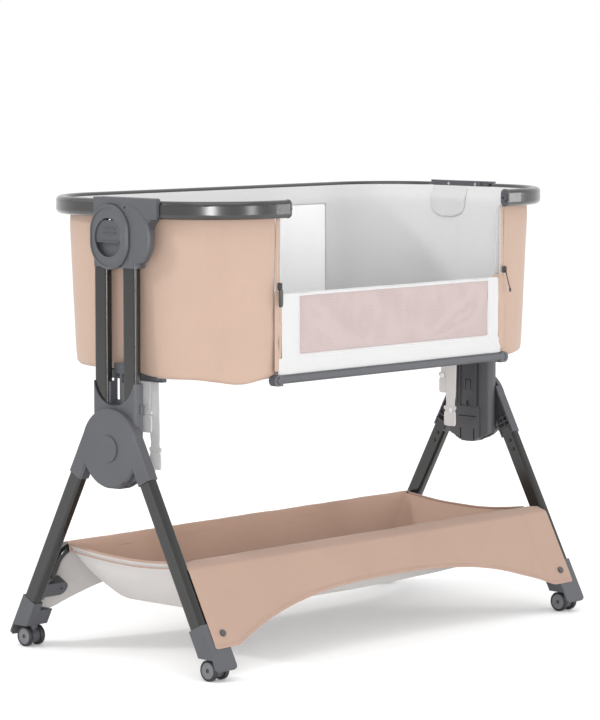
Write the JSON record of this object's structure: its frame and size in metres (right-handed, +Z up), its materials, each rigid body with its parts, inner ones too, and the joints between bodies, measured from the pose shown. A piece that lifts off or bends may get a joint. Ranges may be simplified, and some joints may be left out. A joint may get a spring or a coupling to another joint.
{
  "type": "bassinet on stand",
  "caption": "Bedside bassinet with a padded oval fabric body, a zip-down front side and height-adjustable ends, on a wheeled A-leg stand with a fabric storage basket below.",
  "frame": {"origin": "on the floor under the centre of the stand", "axes": "+X along the length towards the right-hand end, -Y to the open side with the drop panel, +Z up"},
  "size_m": [0.921, 0.4872, 0.75],
  "materials": {
    "grey_plastic": "fine grained moulded plastic",
    "dark_tube": "satin anthracite",
    "rim_metal": "satin anodised, dark silver",
    "screw_steel": "plated",
    "spring_steel": "drawn wire",
    "black_plastic": "moulded",
    "wheel": "soft tread on a grey plastic hub",
    "webbing": "white woven webbing",
    "board": "hardboard",
    "peach_fabric": "plain woven polyester, peach",
    "lining_fabric": "white padded polyester and mesh"
  },
  "bodies": {
    "stand": {"left_leg_hub": "grey_plastic", "right_leg_hub": "grey_plastic", "hub_caps": "grey_plastic", "left_sleeve": "grey_plastic", "right_sleeve": "grey_plastic", "leg_rivets": "screw_steel", "front_stretcher": "dark_tube", "rear_stretcher": "dark_tube", "stretcher_brackets": "grey_plastic", "basket": "peach_fabric", "basket_snaps": "screw_steel", "left_front_leg": "dark_tube", "left_front_foot": "grey_plastic", "left_rear_leg": "dark_tube", "left_rear_foot": "grey_plastic", "right_front_leg": "dark_tube", "right_front_foot": "grey_plastic", "right_rear_leg": "dark_tube", "right_rear_foot": "grey_plastic"},
    "bassinet": {"left_rim_bracket": "grey_plastic", "right_rim_bracket": "grey_plastic", "left_dial": "grey_plastic", "right_dial": "grey_plastic", "left_lever_spring": "spring_steel", "right_lever_spring": "spring_steel", "bracket_screws": "screw_steel", "rim": "rim_metal", "rim_end_caps": "grey_plastic", "bottom_brackets": "grey_plastic", "bottom_frame": "dark_tube", "base_board": "board", "fabric_shell": "peach_fabric", "lining": "lining_fabric", "mattress": "lining_fabric", "zip_tracks": "peach_fabric", "left_bed_straps": "webbing", "right_bed_straps": "webbing", "strap_snaps": "screw_steel", "left_front_upright": "dark_tube", "left_rear_upright": "dark_tube", "right_front_upright": "dark_tube", "right_rear_upright": "dark_tube"},
    "drop_side": {"drop_rail": "dark_tube", "drop_rail_caps": "grey_plastic", "drop_panel": "lining_fabric"},
    "left_lever": {"left_release_lever": "grey_plastic"},
    "left_zip": {"left_zip_pull": "black_plastic"},
    "left_front_castor_body": {"left_front_castor": "grey_plastic"},
    "left_front_wheel_pair": {"left_front_wheels": "wheel"},
    "left_rear_castor_body": {"left_rear_castor": "grey_plastic"},
    "left_rear_wheel_pair": {"left_rear_wheels": "wheel"},
    "right_lever": {"right_release_lever": "grey_plastic"},
    "right_zip": {"right_zip_pull": "black_plastic"},
    "right_front_castor_body": {"right_front_castor": "grey_plastic"},
    "right_front_wheel_pair": {"right_front_wheels": "wheel"},
    "right_rear_castor_body": {"right_rear_castor": "grey_plastic"},
    "right_rear_wheel_pair": {"right_rear_wheels": "wheel"}
  },
  "joints": [
    {"name": "height_slide", "type": "slide", "parent": "stand", "child": "bassinet", "axis": [0, 0, 1], "range_m": [-0.1, 0]},
    {"name": "drop_side_hinge", "type": "hinge", "parent": "bassinet", "child": "drop_side", "pos_m": [0, -0.199, 0.598], "axis": [-1, 0, 0], "range_deg": [0, 180]},
    {"name": "left_lever_slide", "type": "slide", "parent": "bassinet", "child": "left_lever", "axis": [0, 0, 1], "range_m": [0, 0.008], "stiffness_N_per_m": 1500, "springref_m": -0.003, "deforming": ["left_lever_spring"]},
    {"name": "left_zip_slide", "type": "slide", "parent": "bassinet", "child": "left_zip", "axis": [0, 0, 1], "range_m": [0, 0.09]},
    {"name": "left_front_swivel", "type": "hinge", "parent": "stand", "child": "left_front_castor_body", "pos_m": [-0.434, -0.2115, 0.05], "axis": [0, 0, 1], "continuous": true},
    {"name": "left_front_wheel_spin", "type": "hinge", "parent": "left_front_castor_body", "child": "left_front_wheel_pair", "pos_m": [-0.434, -0.2155, 0.017], "axis": [1, 0, 0], "continuous": true},
    {"name": "left_rear_swivel", "type": "hinge", "parent": "stand", "child": "left_rear_castor_body", "pos_m": [-0.434, 0.2115, 0.05], "axis": [0, 0, 1], "continuous": true},
    {"name": "left_rear_wheel_spin", "type": "hinge", "parent": "left_rear_castor_body", "child": "left_rear_wheel_pair", "pos_m": [-0.434, 0.2155, 0.017], "axis": [1, 0, 0], "continuous": true},
    {"name": "right_lever_slide", "type": "slide", "parent": "bassinet", "child": "right_lever", "axis": [0, 0, 1], "range_m": [0, 0.008], "stiffness_N_per_m": 1500, "springref_m": -0.003, "deforming": ["right_lever_spring"]},
    {"name": "right_zip_slide", "type": "slide", "parent": "bassinet", "child": "right_zip", "axis": [0, 0, 1], "range_m": [0, 0.09]},
    {"name": "right_front_swivel", "type": "hinge", "parent": "stand", "child": "right_front_castor_body", "pos_m": [0.434, -0.2115, 0.05], "axis": [0, 0, 1], "continuous": true},
    {"name": "right_front_wheel_spin", "type": "hinge", "parent": "right_front_castor_body", "child": "right_front_wheel_pair", "pos_m": [0.434, -0.2155, 0.017], "axis": [1, 0, 0], "continuous": true},
    {"name": "right_rear_swivel", "type": "hinge", "parent": "stand", "child": "right_rear_castor_body", "pos_m": [0.434, 0.2115, 0.05], "axis": [0, 0, 1], "continuous": true},
    {"name": "right_rear_wheel_spin", "type": "hinge", "parent": "right_rear_castor_body", "child": "right_rear_wheel_pair", "pos_m": [0.434, 0.2155, 0.017], "axis": [1, 0, 0], "continuous": true}
  ]
}
